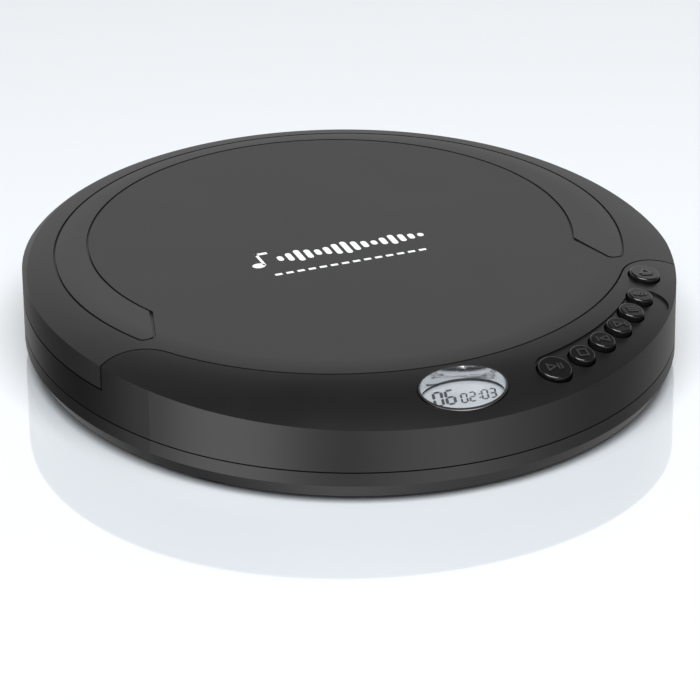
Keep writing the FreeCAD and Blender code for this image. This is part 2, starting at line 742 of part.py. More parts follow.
def key_board():
    start = KEY_FIRST_ANGLE - 5
    end = KEY_FIRST_ANGLE + 5 * KEY_PITCH + 4
    outer = 70.5
    inner = 60.0
    edges = [arc(V(0, 0, 0), outer, start, end), Part.makeLine(polar(outer, end), polar(inner, end))]
    edges += [arc(V(0, 0, 0), inner, end, start), Part.makeLine(polar(inner, start), polar(outer, start))]
    return prism(edges, KEY_BOARD_Z, KEY_BOARD_Z + KEY_BOARD_THICKNESS)


# ---- latch ----


def latch_slider():
    top = SLIDER_Z + SLIDER_THICKNESS
    catch_y = hook_place().y - HOOK_THICKNESS - 0.5
    bar = box(SLIDER_BACK_X, SLIDER_Y, SLIDER_Z, SLIDER_FRONT_X, catch_y, top)
    ramp = box(SLIDER_BACK_X + 0.3, SLIDER_Y, top, SLIDER_BACK_X + 2.5, SLIDER_Y + 1.4, top + RAMP_HEIGHT)
    return joined([bar, ramp])


def coil(pitch, turns, start_radius, end_radius, wire):
    """A spring along +Z, as a closed skin of flat facets round a wire of octagonal section."""
    sides = 8
    steps = int(turns * 18)
    rings = []
    for step in range(steps + 1):
        share = step / steps
        turn = 2 * math.pi * turns * share
        out = V(math.cos(turn), math.sin(turn), 0)
        radius = start_radius + (end_radius - start_radius) * share
        along = V(-out.y * radius, out.x * radius, pitch / (2 * math.pi))
        across = along.cross(out).normalize()
        centre = out * radius + Z_AXIS * (pitch * turns * share)
        angles = [2 * math.pi * side / sides for side in range(sides)]
        rings.append([centre + out * (wire * math.cos(a)) + across * (wire * math.sin(a)) for a in angles])
    faces = [rings[0], rings[-1]]
    for low, high in zip(rings, rings[1:]):
        for side in range(sides):
            after = (side + 1) % sides
            faces.append([low[side], low[after], high[after]])
            faces.append([low[side], high[after], high[side]])
    shell = Part.makeShell([Part.Face(Part.makePolygon(points + points[:1])) for points in faces])
    solid = Part.makeSolid(shell)
    return solid if solid.Volume > 0 else solid.reversed()


def latch_spring():
    spring = coil(1.0, 4.4, 1.15, 1.15, 0.17)
    spring.rotate(V(0, 0, 0), V(1, 0, 0), 90)
    spring.translate(V(SLIDER_BACK_X + 1.8, SLIDER_Y - 0.3, SLIDER_Z + SLIDER_THICKNESS / 2))
    return spring


# ---- side controls ----


def jack(y, bore, depth):
    front = wall_x(y) - 0.35
    nose = rod(V(front - 4, y, JACK_Z), V(front, y, JACK_Z), JACK_NOSE)
    block = box(front - depth, y - 3.4, BOARD_Z + BOARD_THICKNESS, front - 2.6, y + 3.4, SHOULDER_Z - 1.6)
    block = block.common(oval(CASE_WALL + 1.5, 0, HIGH))
    hole = rod(V(front - depth + 1, y, JACK_Z), V(front + 1, y, JACK_Z), bore)
    return joined([block, nose]).cut(hole)


def headphone_jack():
    return jack(JACK_Y, JACK_BORE, 13.0)


def power_jack():
    body = jack(POWER_Y, JACK_BORE - 0.05, 10.5)
    front = wall_x(POWER_Y)
    pin = rod(V(front - 10.2, POWER_Y, JACK_Z), V(front - 1.2, POWER_Y, JACK_Z), POWER_PIN_RADIUS)
    return joined([body, pin])


def hold_box(half_y, half_z, grow):
    x0 = wall_x(0) - CASE_WALL - 1
    x1 = wall_x(0) + 2
    y = half_y + 2
    z = half_z + grow
    return box(x0, HOLD_Y - y, JACK_Z - z, x1, HOLD_Y + y, JACK_Z + z)


def hold_slider():
    start = HOLD_Y - HOLD_TRAVEL / 2
    outer = wall_x(0) - 0.1
    knob = box(outer - 4.2, start - 2, JACK_Z - 1, outer, start + 2, JACK_Z + 1)
    starts = [start - 1.6 + 0.8 * n for n in range(5)]
    ribs = [box(outer - 0.3, y, 0, outer + 1, y + 0.3, HIGH) for y in starts]
    return knob.cut(ribs)


def hold_switch():
    back = wall_x(0) - 4.8
    return box(back - 3.4, HOLD_Y - 4.5, BOARD_Z + BOARD_THICKNESS, back, HOLD_Y + 4.5, SHOULDER_Z - 1.8)


def wheel_x():
    return wall_x(WHEEL_Y) + WHEEL_PROUD - WHEEL_RADIUS


def volume_wheel():
    ribs = 48
    rim = cylinder(wheel_x(), WHEEL_Y, WHEEL_Z, WHEEL_Z + WHEEL_THICKNESS, WHEEL_RADIUS)
    notches = []
    for index in range(ribs):
        at = polar(WHEEL_RADIUS + 0.15, 360 / ribs * index, V(wheel_x(), WHEEL_Y, 0))
        notches.append(cylinder(at.x, at.y, 0, HIGH, 0.3))
    wheel = rim.cut(notches)
    dish = cylinder(wheel_x(), WHEEL_Y, WHEEL_Z + WHEEL_THICKNESS - 0.8, HIGH, WHEEL_RADIUS - 1.6)
    hub = cylinder(wheel_x(), WHEEL_Y, WHEEL_Z, WHEEL_Z + WHEEL_THICKNESS, 2.4)
    bore = cylinder(wheel_x(), WHEEL_Y, WHEEL_Z - 1, WHEEL_Z + WHEEL_THICKNESS - 0.6, 1.0 + PIN_CLEARANCE)
    return joined([wheel.cut(dish), hub]).cut(bore)


def volume_pot():
    base = BOARD_Z + BOARD_THICKNESS
    body = box(wheel_x() - 4.5, WHEEL_Y - 4, base, wheel_x() + 2.2, WHEEL_Y + 2.5, WHEEL_Z - 0.5)
    return joined([body, cylinder(wheel_x(), WHEEL_Y, WHEEL_Z - 0.6, WHEEL_Z + WHEEL_THICKNESS - 0.8, 1.0)])


# ---- boards ----


def board_rests():
    return [(-36.0, -48.0), (50.0, -30.0), (-36.0, 16.0), (24.0, 18.0)]


def main_board():
    top = BOARD_Z + BOARD_THICKNESS
    front = box(-40, -52, BOARD_Z, 52, 24, top)
    side = box(40, -20, BOARD_Z, 68.5, 33, top).common(oval(CASE_WALL + 1.6, 0, HIGH))
    board = joined([front, side]).common(oval(CASE_WALL + 1.6, 0, HIGH))
    holes = [cylinder(x, y, 0, HIGH, BOSS_RADIUS + 0.4) for x, y in screw_points()]
    return board.cut(holes)


def chips():
    top = BOARD_Z + BOARD_THICKNESS
    sizes = [(34, -14, 7, 7, 1.4), (18, -36, 5, 5, 1.2), (-8, -40, 4, 6, 1.2)]
    sizes += [(40, 8, 3, 4, 1.2), (-22, -44, 3, 2.4, 1.0)]
    return group([box(x - a, y - b, top, x + a, y + b, top + h) for x, y, a, b, h in sizes])


def capacitors():
    top = BOARD_Z + BOARD_THICKNESS
    places = [(28, 0, 2.0), (34, 4, 2.0), (44, -6, 2.5), (46, 18, 2.5), (4, -46, 2.0)]
    places += [(-34, -38, 2.5), (38, 18, 2.0)]
    return group([cylinder(x, y, top, top + 5.2, radius) for x, y, radius in places])


# ---- mechanism ----


def mech_plate():
    top = PLATE_Z + PLATE_THICKNESS
    front = -27.0
    back = 25.0
    left = -64.0
    right = 18.0
    corners = [(left + 6, front), (right, front), (right, back), (left + 4, back)]
    corners += [(left, back - 6), (left, front + 9)]
    plate = polygon(corners, PLATE_Z, top)
    window = box(-62.8, ROD_FRONT_Y + 3.0, 0, -13.4, ROD_BACK_Y - 2.6, HIGH)
    plate = plate.cut([window, cylinder(0, LID_CENTRE_Y, 0, HIGH, 3.6)])
    blocks = []
    for y in (ROD_FRONT_Y, ROD_BACK_Y):
        for x in (-64.0, -8.0):
            blocks.append(box(x, y - 1.5, ROD_Z - 1.4, x + 1.8, y + 1.5, PLATE_Z + 0.1))
    axle = cylinder(IDLER_X, idler_y(), 7.2, PLATE_Z + 0.1, 0.75)
    plate = joined([plate, axle] + blocks)
    holes = [rod(V(-65, y, ROD_Z), V(0, y, ROD_Z), ROD_RADIUS) for y in (ROD_FRONT_Y, ROD_BACK_Y)]
    holes += [cylinder(x, y, 0, HIGH, 2.5) for x, y in DAMPERS]
    return plate.cut(holes)


def dampers():
    shapes = []
    top = PLATE_Z + PLATE_THICKNESS
    for x, y in DAMPERS:
        neck = cylinder(x, y, PLATE_Z, top, 2.5)
        flanges = [cylinder(x, y, PLATE_Z - 0.7, PLATE_Z, 3.5), cylinder(x, y, top, top + 0.9, 3.5)]
        shapes.append(joined([neck] + flanges).cut(cylinder(x, y, 0, HIGH, 1.7)))
    return group(shapes)


def damper_screws():
    shapes = []
    for x, y in DAMPERS:
        head = cylinder(x, y, PLATE_Z - 1.7, PLATE_Z - 0.75, 2.6).cut(cross_slot(x, y, PLATE_Z - 1.7, 0.5))
        shapes.append(joined([head, cylinder(x, y, PLATE_Z - 0.8, PLATE_Z + 2.2, 0.65)]))
    return group(shapes)


def guide_rods():
    left = -64.0
    right = -6.2
    lines = (ROD_FRONT_Y, ROD_BACK_Y)
    return group([rod(V(left, y, ROD_Z), V(right, y, ROD_Z), ROD_RADIUS) for y in lines])


def spindle_motor():
    can = cylinder(0, LID_CENTRE_Y, MOTOR_BASE_Z, PLATE_Z, MOTOR_RADIUS)
    rim = [edge for edge in can.Edges if abs(edge.CenterOfMass.z - MOTOR_BASE_Z) < 0.01]
    can = can.makeFillet(0.6, rim)
    neck = cylinder(0, LID_CENTRE_Y, PLATE_Z, PLATE_Z + 1.8, 3.2)
    bore = cylinder(0, LID_CENTRE_Y, MOTOR_BASE_Z + 0.6, HIGH, SHAFT_RADIUS + RUNNING)
    return joined([can, neck]).cut(bore)


def spindle_shaft():
    return cylinder(0, LID_CENTRE_Y, MOTOR_BASE_Z + 0.8, HUB_TOP_Z - 1.2, SHAFT_RADIUS)


def turntable():
    base = DISC_Z - MAT_THICKNESS - 1.1
    platter = cylinder(0, LID_CENTRE_Y, base, DISC_Z - MAT_THICKNESS, PLATTER_RADIUS)
    sleeve = cylinder(0, LID_CENTRE_Y, PLATE_Z + 2.1, base + 0.1, 2.6)
    hub = cylinder(0, LID_CENTRE_Y, base + 0.2, HUB_TOP_Z, HUB_RADIUS)
    hub = hub.makeChamfer(0.7, [edge for edge in hub.Edges if abs(edge.CenterOfMass.z - HUB_TOP_Z) < 0.01])
    body = joined([platter, sleeve, hub])
    dish = cylinder(0, LID_CENTRE_Y, HUB_TOP_Z - 0.6, HIGH, 3.4)
    bore = cylinder(0, LID_CENTRE_Y, 0, HUB_TOP_Z - 1.2, SHAFT_RADIUS)
    pockets = [Part.makeSphere(BALL_RADIUS, at) for at in ball_places()]
    return body.cut([dish, bore] + pockets)


def ball_places():
    centre = V(0, LID_CENTRE_Y, DISC_Z + 1.0)
    return [polar(HUB_RADIUS - BALL_RADIUS + 0.35, 90 + 120 * n, centre) for n in range(3)]


def clamp_balls():
    return group([Part.makeSphere(BALL_RADIUS, at) for at in ball_places()])


def platter_mat():
    ring = cylinder(0, LID_CENTRE_Y, DISC_Z - MAT_THICKNESS, DISC_Z, PLATTER_RADIUS - 0.2)
    return ring.cut(cylinder(0, LID_CENTRE_Y, 0, HIGH, HUB_RADIUS + 0.5))


# ---- gears ----


def involute_point(base, radius, turn, flip):
    roll = math.sqrt(max(radius * radius / (base * base) - 1, 0))
    angle = turn + flip * (roll - math.atan(roll))
    return (radius * math.cos(angle), radius * math.sin(angle))


def gear(x, y, z0, z1, module, teeth, phase, bore):
    """A spur gear with involute flanks; one tooth points along phase, in degrees."""
    pressure = math.radians(20)
    pitch = module * teeth / 2
    base = pitch * math.cos(pressure)
    tip = pitch + module * 0.95
    root = pitch - module * 1.25
    half = math.pi / (2 * teeth) - GEAR_BACKLASH / (2 * pitch)
    spread = half + math.tan(pressure) - pressure
    start = max(base, root + 0.02)
    steps = [start + (tip - start) * n / 4 for n in range(5)]
    points = []
    for index in range(teeth):
        centre = math.radians(phase) + 2 * math.pi * index / teeth
        points.append((root * math.cos(centre - spread), root * math.sin(centre - spread)))
        points += [involute_point(base, r, centre - spread, 1) for r in steps]
        points += [involute_point(base, r, centre + spread, -1) for r in reversed(steps)]
        points.append((root * math.cos(centre + spread), root * math.sin(centre + spread)))
    solid = polygon([(x + px, y + py) for px, py in points], z0, z1)
    return solid.cut(cylinder(x, y, z0 - 1, z1 + 1, bore))


def idler_y():
    return RACK_PITCH_Y - RACK_MODULE * RACK_PINION_TEETH / 2


def drive_distance():
    return DRIVE_MODULE * (IDLER_TEETH + MOTOR_TEETH) / 2


def motor_place():
    return polar(drive_distance(), DRIVE_ANGLE, V(IDLER_X, idler_y(), 0))


def idler_gear():
    y = idler_y()
    bore = 0.75 + PIN_CLEARANCE
    small = gear(IDLER_X, y, RACK_Z, RACK_Z + GEAR_WIDTH, RACK_MODULE, RACK_PINION_TEETH, 90, bore)
    large = gear(IDLER_X, y, RACK_Z - 1.9, RACK_Z - 0.7, DRIVE_MODULE, IDLER_TEETH, DRIVE_ANGLE, bore)
    hub = cylinder(IDLER_X, y, RACK_Z - 0.75, RACK_Z + 0.05, 2.0).cut(cylinder(IDLER_X, y, 0, HIGH, bore))
    return joined([large, hub, small])


def motor_pinion():
    at = motor_place()
    phase = DRIVE_ANGLE - 180 + 180 / MOTOR_TEETH
    return gear(at.x, at.y, RACK_Z - 1.9, RACK_Z - 0.7, DRIVE_MODULE, MOTOR_TEETH, phase, 0.5)


def motor_shaft():
    at = motor_place()
    return cylinder(at.x, at.y, RACK_Z - 1.9, PLATE_Z - 1.0, 0.5)


def sled_motor():
    at = motor_place()
    can = cylinder(at.x, at.y, RACK_Z - 0.2, PLATE_Z, 5.0)
    return can.cut(cylinder(at.x, at.y, 0, PLATE_Z - 0.8, 0.5 + RUNNING))


def sled_rack():
    pitch = math.pi * RACK_MODULE
    half_tooth = pitch / 4 - GEAR_BACKLASH / 2
    lean = math.tan(math.radians(20))
    tip_y = RACK_PITCH_Y - RACK_MODULE * 0.95
    root_y = RACK_PITCH_Y + RACK_MODULE * 1.25
    back_y = sled_front_y()
    start = LENS_REST_X - 8.0
    end = LENS_REST_X + SLED_TRAVEL - 4.0
    count = int((end - start) / pitch)
    first = IDLER_X - pitch / 2 - pitch * int((IDLER_X - pitch / 2 - start) / pitch)
    points = [(end, back_y), (start, back_y), (start, root_y)]
    tip_half = half_tooth - (RACK_PITCH_Y - tip_y) * lean
    root_half = half_tooth + (root_y - RACK_PITCH_Y) * lean
    for index in range(count):
        x = first + pitch * index
        if x + root_half > end:
            break
        points += [(x - root_half, root_y), (x - tip_half, tip_y)]
        points += [(x + tip_half, tip_y), (x + root_half, root_y)]
    points.append((end, root_y))
    return polygon(points, RACK_Z, RACK_Z + GEAR_WIDTH)


def sled_front_y():
    return ROD_FRONT_Y - 1.8


def pickup_sled():
    x0 = LENS_REST_X - SLED_OUTER
    x1 = LENS_REST_X + SLED_INNER
    low = 9.3
    high = PLATE_Z - 0.25
    base = box(x0, sled_front_y(), low, x1, ROD_BACK_Y, high)
    eye = rod(V(x0, ROD_BACK_Y, ROD_Z), V(x1, ROD_BACK_Y, ROD_Z), ROD_RADIUS + 1.0)
    side = LID_CENTRE_Y - TOWER_HALF
    tower = box(x0, side, high - 0.1, x1 - 0.6, LID_CENTRE_Y + TOWER_HALF, TOWER_TOP_Z)
    tower = tower.common(cylinder(SLED_TRAVEL, LID_CENTRE_Y, 0, HIGH, WELL_RADIUS - 0.4))
    bore = rod(V(x0 - 1, ROD_BACK_Y, ROD_Z), V(x1 + 1, ROD_BACK_Y, ROD_Z), ROD_RADIUS + RUNNING)
    slot_z = ROD_RADIUS + RUNNING
    slot = box(x0 - 1, ROD_FRONT_Y - 1.4, ROD_Z - slot_z, x1 + 1, ROD_FRONT_Y + 1.4, ROD_Z + slot_z)
    well = cylinder(LENS_REST_X, LID_CENTRE_Y, 14.0, HIGH, HOLDER_RADIUS + 0.4)
    return joined([base, eye, tower]).cut([bore, slot, well])


def lens_holder():
    ring = cylinder(LENS_REST_X, LID_CENTRE_Y, 14.6, 17.3, HOLDER_RADIUS)
    return ring.cut(cylinder(LENS_REST_X, LID_CENTRE_Y, 16.0, HIGH, LENS_RADIUS))


def lens():
    disc = cylinder(LENS_REST_X, LID_CENTRE_Y, 16.0, 17.2, LENS_RADIUS)
    radius = 4.0
    depth = math.sqrt(radius**2 - LENS_RADIUS**2)
    dome = Part.makeSphere(radius, V(LENS_REST_X, LID_CENTRE_Y, 17.2 - depth))
    dome = dome.common(cylinder(LENS_REST_X, LID_CENTRE_Y, 17.1, HIGH, LENS_RADIUS))
    return joined([disc, dome])


def lid_switch():
    base = BOARD_Z + BOARD_THICKNESS
    body = box(44.5, -24.0, base, 49.5, -20.0, base + 5.0)
    leaf = box(46.6, -23.5, base + 4.8, 47.0, -20.5, base + 8.8)
    return joined([body, leaf])


# ---- battery contacts ----


def battery_contacts():
    half = BAY_LENGTH / 2
    shapes = []
    middle = BAY_FRONT_Y + (BAY_BACK_Y - BAY_FRONT_Y) / 2
    shapes.append(box(-half, BAY_FRONT_Y + 2, 4.0, -half + 0.4, BAY_BACK_Y - 2, 14.5))
    for y in (BAY_FRONT_Y + 2, middle + 2):
        shapes.append(box(half - 0.4, y, 4.0, half, y + 10.5, 14.5))
    return group(shapes)


def battery_springs():
    shapes = []
    quarter = (BAY_BACK_Y - BAY_FRONT_Y) / 4
    for side, y in ((-1, BAY_FRONT_Y + quarter), (1, BAY_BACK_Y - quarter)):
        spring = coil(1.1, 3.3, 3.2, 4.1, 0.25)
        spring.rotate(V(0, 0, 0), V(0, 1, 0), -side * 90)
        spring.translate(V(side * (BAY_LENGTH / 2 - 0.75), y, 9.3))
        shapes.append(spring)
    return group(shapes)


def nodes():
    shapes = {
        "bottom_case": bottom_case(),
        "upper_case": upper_case(),
        "well_deck": well_deck(),
        "lid_shell": lid_shell(),
        "lid_trim_band": lid_trim_band(),
        "lid_hook": lid_hook(),
        "hinge_pins": hinge_pins(),
        "battery_door": battery_door(),
        "feet": feet(),
        "case_screws": case_screws(),
        "lcd_bezel": lcd_bezel(),
        "lcd_window": lcd_window(),
        "lcd_module": lcd_module(),
        "tact_switches": tact_switches(),
        "key_board": key_board(),
        "latch_slider": latch_slider(),
        "latch_spring": latch_spring(),
        "headphone_jack": headphone_jack(),
        "power_jack": power_jack(),
        "hold_slider": hold_slider(),
        "hold_switch": hold_switch(),
        "volume_wheel": volume_wheel(),
        "volume_pot": volume_pot(),
        "main_board": main_board(),
        "chips": chips(),
        "capacitors": capacitors(),
        "mech_plate": mech_plate(),
        "dampers": dampers(),
        "damper_screws": damper_screws(),
        "guide_rods": guide_rods(),
        "spindle_motor": spindle_motor(),
        "spindle_shaft": spindle_shaft(),
        "turntable": turntable(),
        "clamp_balls": clamp_balls(),
        "platter_mat": platter_mat(),
        "idler_gear": idler_gear(),
        "motor_pinion": motor_pinion(),
        "motor_shaft": motor_shaft(),
        "sled_motor": sled_motor(),
        "sled_rack": sled_rack(),
        "pickup_sled": pickup_sled(),
        "lens_holder": lens_holder(),
        "lens": lens(),
        "lid_switch": lid_switch(),
        "battery_contacts": battery_contacts(),
        "battery_springs": battery_springs(),
    }
    for place in keys():
        shapes[place["name"]] = key(place)
    return shapes


def main():
    os.makedirs("parts", exist_ok=True)
    for name, shape in nodes().items():
        solids = shape.Solids
        volume = sum(solid.Volume for solid in solids)
        print("%-18s %2d solids %10.1f mm3 valid %s" % (name, len(solids), volume, shape.isValid()))
        solid_shape = solids[0] if len(solids) == 1 else Part.makeCompound(solids)
        solid_shape.exportStep("parts/%s.step" % name)


main()
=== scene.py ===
"""Looks for the portable disc player: finishes, printed and raised marks, display digits, studio."""

import json
import math

import bpy
from mathutils import Matrix, Vector


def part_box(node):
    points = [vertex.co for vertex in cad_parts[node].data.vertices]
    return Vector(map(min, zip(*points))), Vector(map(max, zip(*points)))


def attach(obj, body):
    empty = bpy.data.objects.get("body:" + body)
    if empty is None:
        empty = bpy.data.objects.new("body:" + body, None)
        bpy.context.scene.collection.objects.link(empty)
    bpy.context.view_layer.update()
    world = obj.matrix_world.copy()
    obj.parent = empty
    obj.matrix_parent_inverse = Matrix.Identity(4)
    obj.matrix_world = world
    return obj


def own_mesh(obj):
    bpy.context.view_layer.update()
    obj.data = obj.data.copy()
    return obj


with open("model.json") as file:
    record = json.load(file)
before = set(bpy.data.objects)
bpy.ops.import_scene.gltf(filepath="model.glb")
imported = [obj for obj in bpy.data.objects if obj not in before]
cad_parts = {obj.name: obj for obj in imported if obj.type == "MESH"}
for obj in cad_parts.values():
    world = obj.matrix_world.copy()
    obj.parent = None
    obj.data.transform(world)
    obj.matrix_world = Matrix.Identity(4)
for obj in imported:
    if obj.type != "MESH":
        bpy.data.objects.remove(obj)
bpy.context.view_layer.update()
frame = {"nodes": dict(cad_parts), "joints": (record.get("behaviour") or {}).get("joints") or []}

MM = 0.001
NODES = frame["nodes"]

# ---- sizes shared with the solid model, in millimetres ----
LID_CENTRE_Y = 5.8
FLAT_RADIUS = 59.0
SHOULDER_RADIUS = 58.0
TOP_Z = 22.3
KEY_PROUD = 1.0
ICON_HEIGHT = 0.2
ICON_LINE = 0.42
LCD_TILT = math.radians(5)
PRINT_SCALE = 1.12


# ---- shader expressions ----


class Flow:
    """A shader socket; sums, products and quotients of flows become Math nodes."""

    def __init__(self, finish, socket):
        self.finish = finish
        self.socket = socket

    def math(self, operation, first, second=0.0):
        return self.finish.node("ShaderNodeMath", {"operation": operation}, {0: first, 1: second})

    def __add__(self, other):
        return self.math("ADD", self, other)

    def __sub__(self, other):
        return self.math("SUBTRACT", self, other)

    def __rsub__(self, other):
        return self.math("SUBTRACT", other, self)

    def __mul__(self, other):
        return self.math("MULTIPLY", self, other)

    def __truediv__(self, other):
        return self.math("DIVIDE", self, other)

    __radd__ = __add__
    __rmul__ = __mul__

    def between(self, low, high):
        """0 below low, 1 above high, and a straight ramp in between."""
        values = {0: self, 1: low, 2: high, 3: 0.0, 4: 1.0}
        return self.finish.node("ShaderNodeMapRange", {"clamp": True}, values)


class Finish:
    """One material: a Principled surface and the nodes that vary it."""

    def __init__(self, name):
        self.material = bpy.data.materials.new(name)
        self.material.use_nodes = True
        self.tree = self.material.node_tree
        self.tree.nodes.clear()
        self.shader = self.tree.nodes.new("ShaderNodeBsdfPrincipled")
        out = self.tree.nodes.new("ShaderNodeOutputMaterial")
        self.tree.links.new(self.shader.outputs[0], out.inputs[0])

    def put(self, socket, value):
        if isinstance(value, Flow):
            self.tree.links.new(value.socket, socket)
        elif socket.type == "RGBA" and len(value) == 3:
            socket.default_value = (*value, 1.0)
        else:
            socket.default_value = value

    def node(self, kind, settings, values, output=0):
        node = self.tree.nodes.new(kind)
        for name, value in settings.items():
            setattr(node, name, value)
        for name, value in values.items():
            self.put(node.inputs[name], value)
        return Flow(self, node.outputs[output])

    def set(self, **values):
        for name, value in values.items():
            self.put(self.shader.inputs[name.replace("_", " ")], value)
        return self

    def place(self):
        """Position on the piece, in metres, in the shared frame."""
        return self.node("ShaderNodeTexCoord", {}, {}, "Object")

    def axis(self, letter):
        return self.node("ShaderNodeSeparateXYZ", {}, {0: self.place()}, letter)

    def grain(self, size, detail=2.0, stretch=(1.0, 1.0, 1.0)):
        """Noise whose lumps are about size millimetres across."""
        where = self.node("ShaderNodeVectorMath", {"operation": "MULTIPLY"}, {0: self.place(), 1: stretch})
        values = {"Vector": where, "Scale": 1 / (size * MM), "Detail": detail}
        return self.node("ShaderNodeTexNoise", {}, values)

    def blend(self, share, first, second):
        """A colour that goes from first to second as share goes from 0 to 1."""
        values = {0: share, 6: first, 7: second}
        return self.node("ShaderNodeMix", {"data_type": "RGBA"}, values, 2)

    def bump(self, height, depth, strength=1.0):
        """Raises the surface by height times depth millimetres."""
        values = {"Height": height, "Distance": depth * MM, "Strength": strength}
        self.set(Normal=self.node("ShaderNodeBump", {}, values))
        return self


def moulded(name, shade, roughness, lump=0.35, depth=0.006, specular=0.5, tint=(1.0, 1.0, 1.0)):
    """Spark-eroded plastic: a fine skin, faint tone changes and slightly uneven gloss."""
    finish = Finish(name)
    skin = finish.grain(lump)
    cloud = finish.grain(14.0, 1.0)
    dark = [shade * 0.9 * t for t in tint]
    light = [shade * 1.1 * t for t in tint]
    finish.set(Base_Color=finish.blend(cloud, dark, light))
    finish.set(Roughness=roughness + 0.05 * (cloud - 0.5) + 0.06 * (skin - 0.5))
    finish.shader.inputs["Specular IOR Level"].default_value = specular
    return finish.bump(skin, depth)


def metal(name, color, roughness, stretch=(1.0, 1.0, 1.0), lump=0.5):
    finish = Finish(name)
    streak = finish.grain(lump, 3.0, stretch)
    dull = [0.82 * c for c in color]
    finish.set(Base_Color=finish.blend(streak, dull, color), Metallic=1.0)
    finish.set(Roughness=roughness + 0.12 * (streak - 0.5))
    return finish.bump(streak, 0.002)


def chrome_rim():
    finish = Finish("display_rim_chrome")
    smear = finish.grain(3.0, 2.0)
    finish.set(Base_Color=finish.blend(smear, (0.80, 0.80, 0.82), (0.90, 0.90, 0.91)), Metallic=1.0)
    finish.set(Roughness=0.05 + 0.05 * smear)
    return finish


def display_glass():
    finish = Finish("display_window")
    haze = finish.grain(5.0, 2.0)
    finish.set(Base_Color=(0.30, 0.33, 0.35), Roughness=0.03 + 0.04 * haze, Alpha=0.05 + 0.04 * haze)
    return finish


def display_ground():
    """The grey-blue of an unlit liquid-crystal panel, with painted light making it a little lighter towards
    its front.
    """
    finish = Finish("display_ground")
    y = finish.axis("Y")
    # painted light: the panel's tone is raised towards its front
    front = 1 - y.between(-0.0735, -0.0605)
    mottle = finish.grain(0.25, 1.0)
    ground = finish.blend(front, (0.36, 0.385, 0.41), (0.44, 0.47, 0.50))
    finish.set(Base_Color=finish.blend(0.12 * mottle, ground, (0.2, 0.22, 0.24)))
    finish.set(Roughness=0.35 + 0.1 * mottle)
    return finish


def board_mask():
    """Green solder mask with raised tracks running both ways and tinned pads."""
    finish = Finish("board_solder_mask")
    x = finish.axis("X") / (1.4 * MM)
    y = finish.axis("Y") / (1.4 * MM)
    drift = finish.grain(9.0, 1.0) * 4
    tracks = (x + drift).math("PINGPONG", x + drift, 1.0).between(0.72, 0.80)
    across = (y + drift).math("PINGPONG", y + drift, 1.0).between(0.80, 0.86)
    copper = tracks.math("MAXIMUM", tracks, across)
    green = finish.blend(copper, (0.006, 0.055, 0.022), (0.018, 0.14, 0.05))
    finish.set(Base_Color=green, Roughness=0.32 - 0.08 * copper)
    return finish.bump(copper, 0.03)


def lens_coat():
    finish = Finish("lens_coating")
    depth = finish.axis("Z").between(0.0165, 0.0178)
    finish.set(Base_Color=finish.blend(depth, (0.02, 0.03, 0.10), (0.10, 0.16, 0.42)), Roughness=0.04)
    finish.set(Coat_Weight=1.0)
    return finish


def digit_black():
    finish = Finish("display_digit")
    film = finish.grain(0.4, 1.0)
    finish.set(Base_Color=finish.blend(film, (0.012, 0.012, 0.018), (0.022, 0.022, 0.03)), Roughness=0.35)
    return finish


def print_white():
    finish = Finish("printed_mark")
    fibre = finish.grain(0.5, 2.0)
    finish.set(Base_Color=finish.blend(fibre, (0.70, 0.72, 0.73), (0.84, 0.85, 0.86)))
    finish.set(Roughness=0.45 + 0.1 * fibre)
    return finish.bump(fibre, 0.004)


# ---- finish of every node ----

CASE = moulded("case_satin_black", 0.006, 0.33)
LID = moulded("lid_matte_skin", 0.012, 0.42, 0.3, 0.008)
BAND = moulded("trim_band_satin", 0.015, 0.40, 0.3, 0.008)
BASE = moulded("base_satin_black", 0.008, 0.36)
KEY = moulded("key_semi_gloss", 0.006, 0.2, 0.6, 0.003)
# painted highlight: the raised key marks are the keys' own black plastic; their lighter grey here stands in
# for the highlights on them, while their lower roughness is real gloss
MARK = moulded("key_mark_gloss_and_painted_highlight", 0.03, 0.15, 0.6, 0.002)
INNER = moulded("inner_black_plastic", 0.018, 0.5, 0.5)
WELL = moulded("mechanism_grey_plastic", 0.05, 0.5, 0.5)
SOCKET = moulded("socket_gloss_black", 0.01, 0.18, 1.0, 0.002)
RUBBER = moulded("rubber_dull", 0.02, 0.85, 0.25, 0.02, 0.3)
GEAR = moulded("gear_acetal", 0.62, 0.4, 0.8, 0.004, 0.5, (1.0, 0.98, 0.90))
EPOXY = moulded("chip_epoxy", 0.02, 0.6, 0.15, 0.01, 0.4)
STEEL = metal("steel_turned", (0.62, 0.62, 0.63), 0.25)
BRUSHED = metal("motor_can_plated", (0.58, 0.57, 0.55), 0.3, (1.0, 1.0, 12.0))
ZINC = metal("screw_black_zinc", (0.09, 0.09, 0.10), 0.38)
NICKEL = metal("contact_nickel", (0.70, 0.68, 0.62), 0.28, (1.0, 6.0, 6.0))
CAST = metal("pickup_casting", (0.32, 0.33, 0.35), 0.5, (1.0, 1.0, 1.0), 0.4)
DRAWN = metal("capacitor_can", (0.66, 0.66, 0.69), 0.3, (1.0, 1.0, 0.1))
